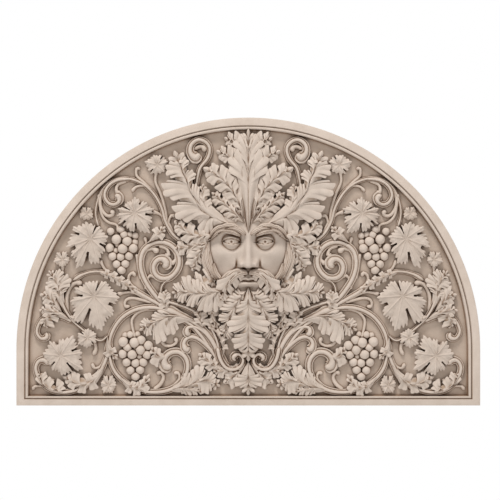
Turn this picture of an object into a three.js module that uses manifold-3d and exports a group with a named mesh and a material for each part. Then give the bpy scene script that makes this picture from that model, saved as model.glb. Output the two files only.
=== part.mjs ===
// A carved stone tympanum panel: a stilted half-round slab with a moulded border, and inside it a foliate
// mask crowned and bearded with acanthus, between mirrored vine scrolls, vine leaves and bunches of grapes.
// Millimetres, +Z up, the carved front towards -Y. The origin is the arch's centre, on the flat back.
// The whole panel is cut from one block, so it is one solid.

import * as THREE from "three";
import { mergeVertices } from "three/addons/utils/BufferGeometryUtils.js";
import Module from "manifold-3d";

// The slab.
const archRadius = 600;
const stiltHeight = 145; // straight sides below the arch's centre
const backing = 38; // stone left behind the carved ground
const archSegments = 32;

// The border: a chamfered flat band, a quirk, then a bead that drops to the carved ground.
const bandWidth = 20;
const bandRise = 19;
const chamfer = 2.5;
const quirkWidth = 3;
const quirkDepth = 4;
const beadWidth = 8;
const beadRise = 18;
const sillBorderWidth = 25; // all of the border's width along the bottom edge

// The carving's rise off the ground, in millimetres.
const stemRise = 13;
const tendrilRise = 9;
const leafRise = 17;
const vineLeafRise = 20;
const grapeLift = 8;
const faceDome = 36;
const noseRise = 30;
const rooting = 6; // how far each carved form runs back into the slab
const sunk = -1; // an edge that dies away into the ground
const leastFacet = 0.6; // a facet that stands out less than this is left out

// The carving is set out on a grid of squares, 232 of them to the arch's radius. A place is squares across
// from the centre line and squares up from the arch's centre.
const squaresToRadius = 232;
const square = archRadius / squaresToRadius;

const wasm = await Module();
wasm.setup();

// Turns a closed geometry into a solid, with its faces pointing out.
function solidOf(geometry) {
  const plain = geometry.clone();
  plain.deleteAttribute("normal");
  plain.deleteAttribute("uv");
  const merged = mergeVertices(plain, 1e-4);
  const vertProperties = new Float32Array(merged.attributes.position.array);
  const triVerts = new Uint32Array(merged.index.array);
  const made = new wasm.Manifold(new wasm.Mesh({ numProp: 3, vertProperties, triVerts }));
  if (made.volume() > 0) return made;
  for (let i = 0; i < triVerts.length; i += 3) {
    [triVerts[i + 1], triVerts[i + 2]] = [triVerts[i + 2], triVerts[i + 1]];
  }
  return new wasm.Manifold(new wasm.Mesh({ numProp: 3, vertProperties, triVerts }));
}

function geometryOf(points, triangles) {
  const position = new Float32Array(points.flatMap((p) => [p.x, p.y, p.z]));
  return new THREE.BufferGeometry()
    .setAttribute("position", new THREE.BufferAttribute(position, 3))
    .setIndex(triangles);
}

// A place on the carving grid, at a rise in millimetres off the ground.
const place = (across, up, rise) => new THREE.Vector3(-across * square, -(backing + rise), up * square);

// The arch's outline, taken in by an inset all round. Along the bottom the inset keeps the sill's proportion.
const borderWidth = bandWidth + quirkWidth + beadWidth;
function archOutline(inset) {
  const radius = archRadius - inset;
  const bottom = -stiltHeight + (inset * sillBorderWidth) / borderWidth;
  const outline = [new THREE.Vector2(-radius, bottom), new THREE.Vector2(radius, bottom)];
  for (let i = 0; i <= archSegments; i++) {
    const angle = (Math.PI * i) / archSegments;
    outline.push(new THREE.Vector2(radius * Math.cos(angle), radius * Math.sin(angle)));
  }
  return outline;
}

// A plate of an outline, standing in the panel's plane from one depth to another, measured from the back.
function plate(outline, from, to) {
  const shape = new THREE.Shape(outline);
  const extruded = new THREE.ExtrudeGeometry(shape, { depth: to - from, bevelEnabled: false });
  return extruded.translate(0, 0, from).rotateX(Math.PI / 2);
}

// The border's section as insets and rises, swept round the outline with mitred corners.
function border() {
  const quirk = bandWidth + quirkWidth / 2;
  const section = [
    [0, -rooting],
    [0, bandRise - chamfer],
    [chamfer, bandRise],
    [bandWidth, bandRise],
    [quirk, bandRise - quirkDepth],
    [borderWidth - beadWidth * 0.7, beadRise],
    [borderWidth - beadWidth * 0.15, beadRise * 0.75],
    [borderWidth, -rooting],
  ];
  const rings = section.map(([inset, rise]) =>
    archOutline(inset).map((p) => new THREE.Vector3(p.x, -(backing + rise), p.y)),
  );
  const around = rings[0].length;
  const triangles = [];
  for (let k = 0; k < rings.length; k++) {
    const next = (k + 1) % rings.length;
    for (let j = 0; j < around; j++) {
      const beside = (j + 1) % around;
      const [a, b, c, d] = [k * around + j, k * around + beside, next * around + beside, next * around + j];
      triangles.push(a, b, c, a, c, d);
    }
  }
  return geometryOf(rings.flat(), triangles);
}

// A raised form from its carved surface alone, given as places [across, up, rise] and faces. Its open edges
// are walled straight down into the slab.
function raised(places, faces) {
  const top = places.map(([across, up, rise]) => place(across, up, rise));
  const foot = places.map(([across, up]) => place(across, up, -rooting));
  const below = top.length;
  const edges = faces.flatMap(([a, b, c]) => [[a, b], [b, c], [c, a]]);
  const known = new Set(edges.map(String));
  const walls = edges
    .filter(([a, b]) => !known.has(String([b, a])))
    .flatMap(([a, b]) => [b, a, a + below, b, a + below, b + below]);
  const faced = faces.flatMap(([a, b, c]) => [a, b, c, a + below, c + below, b + below]);
  return geometryOf([...top, ...foot], [...faced, ...walls]);
}

// A surface from rows of places.
function mound(rows) {
  const width = rows[0].length;
  const faces = [];
  for (let r = 0; r + 1 < rows.length; r++) {
    for (let c = 0; c + 1 < width; c++) {
      const a = r * width + c;
      faces.push([a, a + 1, a + 1 + width], [a, a + 1 + width, a + width]);
    }
  }
  return raised(rows.flat(), faces);
}

// A smooth path through a few places, with its points and directions picked closer where it bends.
function walk(places, longest, sharpest) {
  const curve = new THREE.CatmullRomCurve3(
    places.map(([across, up]) => new THREE.Vector3(across, up, 0)),
    false,
    "centripetal",
  );
  const fine = 160;
  const picked = [];
  let turned = 0;
  let gone = 0;
  for (let i = 0; i <= fine; i++) {
    const share = i / fine;
    const point = curve.getPointAt(share);
    const way = curve.getTangentAt(share);
    if (i > 0) {
      turned += way.angleTo(curve.getTangentAt((i - 1) / fine));
      gone += curve.getLength() / fine;
    }
    if (i === 0 || i === fine || ((turned > sharpest || gone > longest) && share < 0.96)) {
      picked.push({ share, point, way });
      [turned, gone] = [0, 0];
    }
  }
  return picked;
}

const aside = ({ point, way }, distance) => [point.x - way.y * distance, point.y + way.x * distance];

// A stem of a scroll, ridged along its path. It tapers, and a curled end swells into a knob.
const longestStemFacet = 60;
const sharpestStemFacet = 0.72;
function stem({ path, half, rise = stemRise, knob = false }) {
  const steps = walk(path, longestStemFacet, sharpestStemFacet);
  const rows = steps.map((step, i) => {
    const fromEnd = steps.length - 1 - i;
    const swell = knob && fromEnd === 1 ? 1.6 : fromEnd === 0 ? 0.5 : 1.1;
    const halfHere = THREE.MathUtils.lerp(half[0], half[1], step.share) * swell;
    const crest = rise * (0.75 + (0.25 * halfHere) / half[0]);
    const ridge = [step.point.x, step.point.y, crest];
    return [[...aside(step, -halfHere), sunk], ridge, [...aside(step, halfHere), sunk]];
  });
  return mound(rows);
}

// An acanthus leaf: a raised rib along its path, and on each side lobes that point towards the tip. Its edges
// keep a share of the rib's rise, or die away into the ground.
function leaf({ path, half, lobes = 3, rise = leafRise, base = rise, edge = 0.6 }) {
  const step = 1 / (lobes + 0.3);
  const shares = Array.from({ length: lobes }, (_, k) => [step * k, step * (k + 0.62)]).flat();
  shares.push(1);
  const curve = new THREE.CatmullRomCurve3(
    path.map(([across, up]) => new THREE.Vector3(across, up, 0)),
    false,
    "centripetal",
  );
  const rows = shares.map((share, i) => {
    const [point, way] = [curve.getPointAt(share), curve.getTangentAt(share)];
    const isEnd = i === shares.length - 1;
    const isTip = i % 2 === 1;
    const swell = Math.sin(Math.PI * (0.2 + 0.66 * share)) ** 0.8;
    const reach = half * (isEnd ? 0.1 : swell * (isTip ? 1 : 0.52));
    const ahead = isTip ? half * 0.22 : 0;
    const crest = THREE.MathUtils.lerp(base, rise, share);
    const edgeRise = edge ? crest * edge * (isTip ? 1.15 : 0.8) : sunk;
    const side = (distance) => {
      const [across, up] = aside({ point, way }, distance);
      return [across + way.x * ahead, up + way.y * ahead, edgeRise];
    };
    return [side(-reach), [point.x, point.y, crest], side(reach)];
  });
  return mound(rows);
}

// A palmate vine leaf: blunt lobes spread from where the stalk joins, with a notch between each two.
function vineLeaf({ heart, tips, rise = vineLeafRise }) {
  const lobes = tips
    .map(([across, up]) => {
      const [du, dv] = [across - heart[0], up - heart[1]];
      return { angle: Math.atan2(dv, du), length: Math.hypot(du, dv) };
    })
    .sort((a, b) => a.angle - b.angle);
  const ring = lobes.flatMap((lobe, i) => {
    const next = lobes[(i + 1) % lobes.length];
    const gap = (next.angle - lobe.angle + 2 * Math.PI) % (2 * Math.PI);
    const notch = 0.55 * Math.min(lobe.length, next.length);
    const around = [
      [lobe.angle, lobe.length, 0.6],
      [lobe.angle + gap * 0.3, lobe.length * 0.78, 0.75],
      [lobe.angle + gap * 0.55, notch, 0.4],
    ];
    return around.map(([angle, length, lift]) => [
      heart[0] + length * Math.cos(angle),
      heart[1] + length * Math.sin(angle),
      rise * lift,
    ]);
  });
  const faces = ring.map((_place, j) => [0, j + 1, ((j + 1) % ring.length) + 1]);
  return raised([[...heart, rise], ...ring], faces);
}

// A bunch of grapes: staggered rows of domes that meet in the valleys between them, the middle ones highest.
const grapePitch = 8.2;
function bunch({ top, rows, rowPitch }) {
  const places = [];
  const faces = [];
  const numbers = new Map();
  const middle = top[1] - (rowPitch * (rows.length - 1)) / 2;
  const vertex = (across, up, dome) => {
    const key = `${across.toFixed(2)} ${up.toFixed(2)}`;
    const swell = Math.exp(-(((across - top[0]) / 16) ** 2) - ((up - middle) / 28) ** 2);
    if (!numbers.has(key)) {
      numbers.set(key, places.length);
      places.push([across, up, grapeLift * swell + dome * grapePitch * 0.5 * square]);
    }
    return numbers.get(key);
  };
  const [p, h] = [grapePitch / 2, rowPitch / 3];
  const corners = [[p, h], [0, 2 * h], [-p, h], [-p, -h], [0, -2 * h], [p, -h]];
  rows.forEach((count, row) => {
    for (let i = 0; i < count; i++) {
      const across = top[0] + (i - (count - 1) / 2) * grapePitch;
      const up = top[1] - row * rowPitch;
      const apex = vertex(across, up, 1);
      corners.forEach(([du, dv], k) => {
        const [eu, ev] = corners[(k + 1) % corners.length];
        const shoulder = vertex(across + (du + eu) * 0.36, up + (dv + ev) * 0.36, 0.75);
        const [lu, lv] = corners[(k + 5) % corners.length];
        const lastShoulder = vertex(across + (du + lu) * 0.36, up + (dv + lv) * 0.36, 0.75);
        const corner = vertex(across + du, up + dv, 0.1);
        const besideCorner = vertex(across + eu, up + ev, 0.1);
        faces.push([apex, lastShoulder, shoulder]);
        faces.push([lastShoulder, corner, shoulder], [corner, besideCorner, shoulder]);
      });
    }
  });
  return raised(places, faces);
}

// The mask's face, on the classical canon: three equal thirds from hairline to brow, nose and chin.
const third = 37;
const browUp = 118;
const noseUp = browUp - third;
const chinUp = noseUp - third;
const eyeUp = browUp - third * 0.28;
const mouthUp = noseUp - third / 3;
const faceHalf = 42;
const eyeAcross = faceHalf * 0.4;
const bell = (distance, width) => Math.exp(-((distance / width) ** 2));
function faceRise(across, up) {
  const out = Math.abs(across);
  const middle = chinUp + third * 1.45;
  const roundness = 1 - (across / (faceHalf + 1.5)) ** 2 - ((up - middle) / (third * 1.75)) ** 2;
  const dome = faceDome * Math.sqrt(Math.max(0.05, roundness));
  const drop = (browUp - 2 - up) / (browUp - 2 - noseUp);
  const bridge = drop < 0 ? bell(drop, 0.15) * 0.2 : Math.min(1, 0.2 + 0.9 * drop);
  const underTip = drop > 0.9 ? Math.max(0, 1 - (drop - 0.9) / 0.16) : 1;
  const nose = noseRise * bridge * underTip * bell(across, 3.2 + 3 * Math.max(0, drop));
  return (
    dome +
    nose +
    12 * bell(out - 7, 3.2) * bell(up - noseUp - 3, 3.6) +
    5 * bell(out - eyeAcross, 14) * bell(up - browUp - 0.5, 4) -
    13 * bell(out - eyeAcross, 10) * bell(up - eyeUp - 1, 5.5) +
    10 * bell(out - eyeAcross, 6) * bell(up - eyeUp, 4) +
    6 * bell(out - faceHalf * 0.62, 9) * bell(up - noseUp - third * 0.4, 8) +
    5 * bell(across, 9) * bell(up - mouthUp, 4.5) -
    3 * bell(across, 11) * bell(up - mouthUp, 1.2) +
    7 * bell(across, 9) * bell(up - chinUp - 7, 6)
  );
}

function face() {
  const columns = [0, 0.1, 0.22, 0.38, 0.55, 0.78, 1];
  const shares = [...columns.slice(1).reverse().map((s) => -s), ...columns];
  const ups = [
    browUp + 17,
    browUp + 7,
    browUp + 1,
    browUp - 4,
    eyeUp + 3,
    eyeUp - 1,
    eyeUp - 7,
    noseUp + 13,
    noseUp + 5,
    noseUp,
    noseUp - 5,
    mouthUp + 4,
    mouthUp,
    mouthUp - 5,
    chinUp + 5,
  ];
  const middle = chinUp + third * 1.35;
  const rows = ups.map((up) => {
    const halfHere = faceHalf * Math.sqrt(1 - ((up - middle) / (third * 1.62)) ** 2);
    return shares.map((share) => [share * halfHere, up, faceRise(share * halfHere, up)]);
  });
  return mound(rows);
}

// The scrolls of one half, from the trunk beside the centre line out to the corner.
const scrolls = [
  // The trunk, with the hook of its root beside the lowest leaf.
  { path: [[24, -14], [28, -3], [36, 10], [48, 22], [64, 32], [84, 42]], half: [5.4, 4.2] },
  { path: [[27, -6], [22, -15], [13, -18.5], [7, -13], [9, -7], [13, -9]], half: [3.4, 2], knob: true },
  // The upper branch, over the large vine leaf.
  { path: [[76, 38], [100, 52], [122, 67], [140, 76], [156, 78.5], [172, 72], [181, 64]], half: [3.8, 2] },
  // The great scroll round the lower grapes.
  {
    path: [[70, 34], [90, 41], [110, 41], [127, 32], [138, 13], [139, -8], [130, -26], [114, -38], [97, -43]],
    half: [3.4, 3.6],
  },
  {
    path: [[100, -42], [80, -41], [66, -31], [61, -17], [66, -5], [77, -3], [85, -10], [82, -19], [76, -16]],
    half: [3.4, 3],
    knob: true,
  },
  // The corner scroll.
  {
    path: [[140, -3], [148, -23], [164, -37], [184, -43], [203, -36], [212, -23], [208, -12.5], [200, -15]],
    half: [3.6, 2.2],
    knob: true,
  },
  // The outer stem, from the great scroll up along the straight side, and its curl.
  { path: [[139, 13], [148, 8.5], [160, 15], [176, 29], [186, 45], [188.5, 66], [187, 84]], half: [1.8, 3] },
  { path: [[172, 27], [190, 33], [204, 31], [211, 21], [208, 11.5], [202, 14]], half: [3, 2.2], knob: true },
  // The spiral beside the mask.
  {
    path: [[82, 41], [98, 58], [107, 78], [106, 97], [93, 106], [77, 102], [70, 88], [77, 74], [89, 72]],
    half: [4, 2.6],
  },
  { path: [[86, 71.5], [95, 80], [90, 90.5], [81, 87], [84, 82]], half: [2.8, 2.2], knob: true },
  { path: [[80, 41], [87, 57], [82, 69], [74, 76]], half: [2.6, 1.6], rise: tendrilRise },
  // The high arch over the upper vine leaf, down to the outer leaf's stalk, and its curl.
  {
    path: [[66, 107], [83, 127], [93, 153], [109, 168], [130, 171], [146, 161], [153, 140], [151, 122]],
    half: [3.2, 1.6],
  },
  {
    path: [[122, 170], [139, 164], [144, 154], [137, 145], [129, 149], [133, 154]],
    half: [2.6, 2],
    knob: true,
  },
  // The scroll under the arch, beside the crown.
  {
    path: [[52, 164], [50, 180], [39, 194], [43, 207], [54, 208], [57, 196], [50, 195]],
    half: [2.4, 2.2],
    knob: true,
  },
  // Stalks, and short curls off the scrolls.
  { path: [[145, 158], [147, 140], [139, 127], [131, 116]], half: [2, 1.5], rise: tendrilRise },
  { path: [[102, 164], [112, 173], [110, 181]], half: [2, 1.5], rise: tendrilRise },
  { path: [[88, 150], [92, 165], [92, 180]], half: [1.8, 1.4], rise: tendrilRise },
  { path: [[106, 38], [117, 30], [114, 12]], half: [1.6, 1.4], rise: tendrilRise },
  { path: [[108, 58], [120, 68], [113, 74]], half: [2, 1.6], rise: tendrilRise },
  { path: [[98, 103], [91, 112], [85, 121]], half: [1.8, 2.2], rise: tendrilRise },
  { path: [[90, 13], [83, 3.5], [73, 6], [77, 11]], half: [2, 1.6], rise: tendrilRise },
  { path: [[161, 10], [153, 4], [157, -6]], half: [2.2, 1.6], rise: tendrilRise },
];

// The acanthus of one half. The mask's crown and beard rise towards the face.
const nearMask = 30;
const maskLeaves = [
  { path: [[8, 196], [16, 207], [24, 216]], half: 8, lobes: 2, edge: 0 },
  { path: [[2, 140], [7, 168], [15, 184], [30, 197]], half: 9, lobes: 3, rise: 20, base: nearMask },
  { path: [[2, 130], [10, 157], [24, 172], [45, 182]], half: 11, lobes: 3, rise: 22, base: nearMask },
  { path: [[5, 128], [15, 143], [25, 151], [37, 159]], half: 9, rise: 20, base: nearMask },
  { path: [[6, 128], [18, 135], [32, 136], [44, 139]], half: 7, lobes: 2, rise: 26, base: nearMask },
  { path: [[30, 132], [52, 144], [66, 161], [74, 197]], half: 18, lobes: 4, rise: 20, base: nearMask },
  { path: [[24, 129], [40, 126], [54, 128]], half: 8, lobes: 2, rise: 24, base: 34 },
  { path: [[40, 108], [54, 109], [65, 116], [75, 128]], half: 12, rise: 20, base: 26 },
  { path: [[41, 108], [50, 96], [56, 79]], half: 10.5, rise: 20, edge: 0 },
  { path: [[31, 82], [38, 70], [57, 68]], half: 9, lobes: 2, rise: 20, base: 26, edge: 0 },
  { path: [[24, 66], [42, 58], [60, 57], [78, 58]], half: 12.5, lobes: 3, rise: 22, base: 32 },
  { path: [[25, 60], [34, 51], [54, 42]], half: 10, rise: 20, base: 32 },
  { path: [[3, 78], [14, 74], [23, 63], [28, 46]], half: 5.5, lobes: 2, rise: 36, base: 52 },
  { path: [[37, 42], [35, 31], [30, 22]], half: 7, lobes: 2, rise: 12, edge: 0 },
  { path: [[2, 52], [13, 37], [23, 12]], half: 10, rise: 22, base: 30 },
  { path: [[2, -15], [13, -25], [22, -40]], half: 9.5, lobes: 2, rise: 16, edge: 0 },
];

// The acanthus on the scrolls, with edges that die away into the ground.
const scrollLeaves = [
  { path: [[50, 26], [74, 33], [88, 24], [91, 5]], half: 9, lobes: 2 },
  { path: [[84, 27], [98, 23], [111, 17]], half: 9, lobes: 2 },
  { path: [[25, -19], [37, -3], [52, 9], [68, -1]], half: 8, lobes: 3, rise: 18 },
  { path: [[80, -40], [60, -31], [44, -31], [28, -41]], half: 9.5, lobes: 3 },
  { path: [[64, -31], [53, -25], [42, -16]], half: 6, lobes: 2, rise: 14 },
  { path: [[188, 50], [192, 66], [200, 75]], half: 5, lobes: 1, rise: 14 },
  { path: [[188, 50], [185, 66], [177, 76]], half: 5, lobes: 1, rise: 14 },
  { path: [[190, 42], [199, 51], [209, 50]], half: 7, lobes: 2, rise: 14 },
  { path: [[148, -29], [166, -37], [184, -26]], half: 6, lobes: 2, rise: 15 },
  { path: [[126, -33], [112, -38], [100, -30]], half: 5, lobes: 2, rise: 15 },
];

// The leaves on the centre line: the crown's tallest, the beard's, and the lowest.
const axialLeaves = [
  { path: [[0, 112], [0, 165], [0, 219]], half: 14, lobes: 4, rise: 20, base: 42 },
  { path: [[0, 60], [0, 25], [0, -12]], half: 17, lobes: 4, rise: 24, base: 40 },
  { path: [[0, -13], [0, -30], [0, -46]], half: 9.5, lobes: 2, rise: 16 },
];

// The vine leaves of one half, each by the place of its stalk and its lobes' tips.
const vineLeaves = [
  { heart: [115, 136], tips: [[96, 116], [94, 141], [114, 156], [134, 140], [125, 117]] },
  { heart: [157, 109], tips: [[172, 80], [184, 103], [177, 124], [159, 131], [141, 112], [145, 87]] },
  { heart: [154, 50], tips: [[145, 17], [176, 26], [180, 48], [168, 67], [145, 70], [127, 49], [133, 29]] },
  { heart: [187, -8], tips: [[163, -21], [164, -1], [172, 15], [190, 10], [206, 8], [207, -10], [186, -29]] },
  { heart: [91, 185], tips: [[104, 188], [98, 176], [82, 179], [81, 193], [93, 195]], rise: 11 },
  { heart: [186, 89], tips: [[195, 88], [188, 99], [179, 90], [184, 82]], rise: 9 },
  { heart: [161, 13], tips: [[171, 18], [167, 2], [152, 8], [157, 22]], rise: 12 },
  { heart: [140, -35], tips: [[148, -36], [140, -26], [132, -36], [139, -45]], rise: 10 },
];

const bunches = [
  { top: [127, 118], rows: [4, 3, 4, 3, 2, 1], rowPitch: 7.9 },
  { top: [113, 14], rows: [3, 4, 3, 4, 3, 2, 1], rowPitch: 6.9 },
];

// One half's carving, with its mirror image, and what stands on the centre line.
const mirrored = (geometry) => [geometry, geometry.clone().scale(-1, 1, 1)];
const halfForms = [
  ...scrolls.map(stem),
  ...maskLeaves.map(leaf),
  ...scrollLeaves.map((each) => leaf({ ...each, edge: 0 })),
  ...vineLeaves.map(vineLeaf),
  ...bunches.map(bunch),
];
const carvedForms = [...halfForms.flatMap(mirrored), ...axialLeaves.map(leaf), face()];

// All carving stays inside the border's bead.
const tallest = 2 * (faceDome + noseRise);
const carvingRoom = solidOf(plate(archOutline(borderWidth - beadWidth / 2), backing / 2, backing + tallest));
const carving = carvedForms.map(solidOf).reduce((whole, next) => whole.add(next));
const slab = solidOf(plate(archOutline(0), 0, backing));
const panel = slab.add(solidOf(border())).add(carving.intersect(carvingRoom)).simplify(leastFacet);

function meshOf(solid, name, material) {
  const { numProp, numVert, vertProperties, triVerts } = solid.getMesh();
  const position = new Float32Array(numVert * 3);
  for (let i = 0; i < numVert; i++) {
    position.set(vertProperties.subarray(i * numProp, i * numProp + 3), i * 3);
  }
  const geometry = new THREE.BufferGeometry()
    .setAttribute("position", new THREE.BufferAttribute(position, 3))
    .setIndex(new THREE.BufferAttribute(triVerts, 1));
  geometry.computeVertexNormals();
  const mesh = new THREE.Mesh(geometry, material);
  mesh.name = name;
  return mesh;
}

const limestone = new THREE.MeshStandardMaterial({ color: 0xd0c2b5, roughness: 0.9, metalness: 0 });
const tympanum = new THREE.Group();
tympanum.add(meshOf(panel, "tympanum_panel", limestone));

export default tympanum;
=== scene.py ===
"""A carved limestone tympanum: a half-round slab with a moulded border, and on its sunk ground a bearded
leaf mask between mirrored vine scrolls. It is all one stone, so every piece rides on the same body."""
import math

import bmesh
import bpy
from mathutils import Matrix, Vector, noise


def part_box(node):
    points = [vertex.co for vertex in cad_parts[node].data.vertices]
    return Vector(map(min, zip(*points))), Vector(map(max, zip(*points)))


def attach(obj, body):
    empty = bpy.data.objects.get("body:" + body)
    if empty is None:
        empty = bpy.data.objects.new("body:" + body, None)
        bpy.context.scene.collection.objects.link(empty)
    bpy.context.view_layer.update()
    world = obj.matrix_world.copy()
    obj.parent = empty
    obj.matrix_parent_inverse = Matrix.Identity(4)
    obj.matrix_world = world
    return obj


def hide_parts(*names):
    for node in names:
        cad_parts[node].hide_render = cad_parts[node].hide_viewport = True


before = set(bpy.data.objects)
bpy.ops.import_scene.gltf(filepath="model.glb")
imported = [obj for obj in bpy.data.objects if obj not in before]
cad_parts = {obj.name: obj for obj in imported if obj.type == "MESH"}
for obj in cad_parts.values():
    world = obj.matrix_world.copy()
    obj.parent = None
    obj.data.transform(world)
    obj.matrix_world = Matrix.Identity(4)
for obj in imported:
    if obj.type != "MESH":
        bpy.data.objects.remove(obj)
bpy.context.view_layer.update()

# The slab and its border, cut from one block of pale, warm limestone. The front edge is chamfered, then come
# a flat band, a narrow quirk and a bead that drops to the sunk ground. They run round the arch, down both
# sides and along the sill, mitred. All the carving is of the same stone.
low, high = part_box("tympanum_panel")
arch_radius = (high[0] - low[0]) / 2
sill = low[2]
backing = 0.038
squares_to_radius = 232
square = arch_radius / squares_to_radius
band, band_rise, chamfer = 0.020, 0.019, 0.0025
quirk, quirk_depth = 0.0022, 0.0022
bead, bead_rise = 0.0088, 0.0185
sill_border = 0.025
border = band + quirk + bead
sill_share = sill_border / border
arch_steps = 128
ground_rings = 40
ground_unevenness = 0.0014
rim_ring = 0.995

# The stone's colour carries painted light. Its convex edges are painted lighter, as painted highlight with
# some wear. Its hollows, grooves and creases are painted brown, as painted shade and partly the patina of
# old limewash, and everything near the sunk ground is painted darker as painted shade. Its grain is fine,
# with soft mottling and a few pits.
stone_light = (0.585, 0.492, 0.42, 1)
stone_deep = (0.52, 0.43, 0.36, 1)
# The colour painted into the hollows: painted shade, partly the brown patina of old limewash.
hollow_shade_and_patina = (0.10, 0.046, 0.019, 1)
grain_size = 0.0011
mottle_size = 0.035
pit_size = 0.006
hollow_reach = 0.014
groove_reach = 0.0055
# The brown painted along narrow grooves is painted shade.
groove_painted_shade = (0.52, 0.38, 0.27, 1)
# The brown painted into concave creases is painted shade.
crease_painted_shade = (0.72, 0.62, 0.53, 1)
# The lightening of convex edges is painted highlight, with some wear.
edge_highlight_and_wear = (1.12, 1.125, 1.13, 1)
# Painted shade: the darker tint for everything at or near the sunk ground's depth, and its span of depth.
ground_painted_shade = (0.95, 0.91, 0.87, 1)
ground_shade_from, ground_shade_until = -0.040, -0.052

stone = bpy.data.materials.new("limestone")
stone.use_nodes = True
nodes = stone.node_tree.nodes
wire = stone.node_tree.links.new
shader = nodes["Principled BSDF"]
shader.inputs["Specular IOR Level"].default_value = 0.25
where = nodes.new("ShaderNodeTexCoord").outputs["Object"]


def noise_node(scale, detail, roughness):
    node = nodes.new("ShaderNodeTexNoise")
    node.inputs["Scale"].default_value = scale
    node.inputs["Detail"].default_value = detail
    node.inputs["Roughness"].default_value = roughness
    wire(where, node.inputs["Vector"])
    return node.outputs["Fac"]


def ramp_node(source, low, high, from_colour, to_colour):
    node = nodes.new("ShaderNodeValToRGB")
    node.color_ramp.elements[0].position = low
    node.color_ramp.elements[1].position = high
    node.color_ramp.elements[0].color = from_colour
    node.color_ramp.elements[1].color = to_colour
    wire(source, node.inputs["Fac"])
    return node.outputs["Color"]


def mix_node(blend, factor, first, second):
    node = nodes.new("ShaderNodeMix")
    node.data_type = "RGBA"
    node.blend_type = blend
    for socket, value in (("Factor_Float", factor), ("A_Color", first), ("B_Color", second)):
        target = next(each for each in node.inputs if each.identifier == socket)
        if isinstance(value, bpy.types.NodeSocket):
            wire(value, target)
        else:
            target.default_value = value
    return next(each for each in node.outputs if each.identifier == "Result_Color")


mottle = noise_node(1 / mottle_size, 6, 0.6)
grain = noise_node(1 / grain_size, 3, 0.7)
base = ramp_node(mottle, 0.3, 0.7, stone_deep, stone_light)
specks = ramp_node(grain, 0.35, 0.6, (0.72, 0.70, 0.67, 1), (1, 1, 1, 1))
speckled = mix_node("MULTIPLY", 0.35, base, specks)
# Painted shade: surfaces near the sunk ground's depth, and the back, are painted darker.
from_wall = nodes.new("ShaderNodeSeparateXYZ")
wire(where, from_wall.inputs["Vector"])
forward = nodes.new("ShaderNodeMapRange")
forward.inputs["From Min"].default_value = ground_shade_until
forward.inputs["From Max"].default_value = ground_shade_from
wire(from_wall.outputs["Y"], forward.inputs["Value"])
ground_shaded = mix_node("MULTIPLY", forward.outputs["Result"], speckled, ground_painted_shade)
# Painted shade in the hollows: an occlusion probe paints enclosed places brown, as shade and partly as
# patina.
hollow = nodes.new("ShaderNodeAmbientOcclusion")
hollow.inputs["Distance"].default_value = hollow_reach
hollow.samples = 12
hollow_shade_mask = ramp_node(hollow.outputs["AO"], 0.12, 0.70, (1, 1, 1, 1), (0, 0, 0, 1))
# Painted shade in the grooves: a short-reach occlusion probe paints thin dark lines where grooves are
# narrow.
groove = nodes.new("ShaderNodeAmbientOcclusion")
groove.inputs["Distance"].default_value = groove_reach
groove.samples = 8
groove_and_crease_shade = ramp_node(groove.outputs["AO"], 0.35, 0.85, groove_painted_shade, (1, 1, 1, 1))
turning = nodes.new("ShaderNodeNewGeometry").outputs["Pointiness"]
# Painted shade in the creases: concave places, found by pointiness, are painted darker.
groove_and_crease_shade = mix_node("MULTIPLY", 1, groove_and_crease_shade, ramp_node(turning, 0.44, 0.49, crease_painted_shade, (1, 1, 1, 1)))
# Painted highlight on convex edges, found by pointiness, together with their wear.
highlit_and_worn_edges = ramp_node(turning, 0.505, 0.54, (1, 1, 1, 1), edge_highlight_and_wear)
toned = mix_node("MULTIPLY", 1, mix_node("MULTIPLY", 1, ground_shaded, groove_and_crease_shade), highlit_and_worn_edges)
wire(mix_node("MIX", hollow_shade_mask, toned, hollow_shade_and_patina), shader.inputs["Base Color"])
wire(ramp_node(mottle, 0.3, 0.7, (0.93, 0.93, 0.93, 1), (0.8, 0.8, 0.8, 1)), shader.inputs["Roughness"])

pits = nodes.new("ShaderNodeTexVoronoi")
pits.inputs["Scale"].default_value = 1 / pit_size
wire(where, pits.inputs["Vector"])
pitting = ramp_node(pits.outputs["Distance"], 0.08, 0.22, (0, 0, 0, 1), (1, 1, 1, 1))
surface = None
for source, depth, strength in ((grain, 0.0004, 0.35), (mottle, 0.003, 0.25), (pitting, 0.0006, 0.25)):
    bump = nodes.new("ShaderNodeBump")
    bump.inputs["Distance"].default_value = depth
    bump.inputs["Strength"].default_value = strength
    wire(source, bump.inputs["Height"])
    if surface:
        wire(surface, bump.inputs["Normal"])
    surface = bump.outputs["Normal"]
wire(surface, shader.inputs["Normal"])


def face_outwards(bm):
    """Turns every closed shell in the mesh right side out, by the sign of its volume."""
    bmesh.ops.recalc_face_normals(bm, faces=bm.faces)
    left = set(bm.faces)
    while left:
        shell = [left.pop()]
        for face in shell:
            for edge in face.edges:
                for beside in edge.link_faces:
                    if beside in left:
                        left.remove(beside)
                        shell.append(beside)
        volume = sum(face.calc_area() * face.normal.dot(face.calc_center_median()) for face in shell)
        if volume < 0:
            bmesh.ops.reverse_faces(bm, faces=shell)


def keep_piece(bm, name, sharp_above=40):
    """The mesh as one shaded piece of the stone, which stands for the panel's solid."""
    face_outwards(bm)
    mesh = bpy.data.meshes.new(name)
    bm.to_mesh(mesh)
    bm.free()
    mesh.shade_smooth()
    mesh.set_sharp_from_angle(angle=math.radians(sharp_above))
    mesh.materials.append(stone)
    piece = bpy.data.objects.new(name, mesh)
    bpy.context.scene.collection.objects.link(piece)
    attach(piece, "root")
    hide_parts("tympanum_panel")
    return piece


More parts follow.
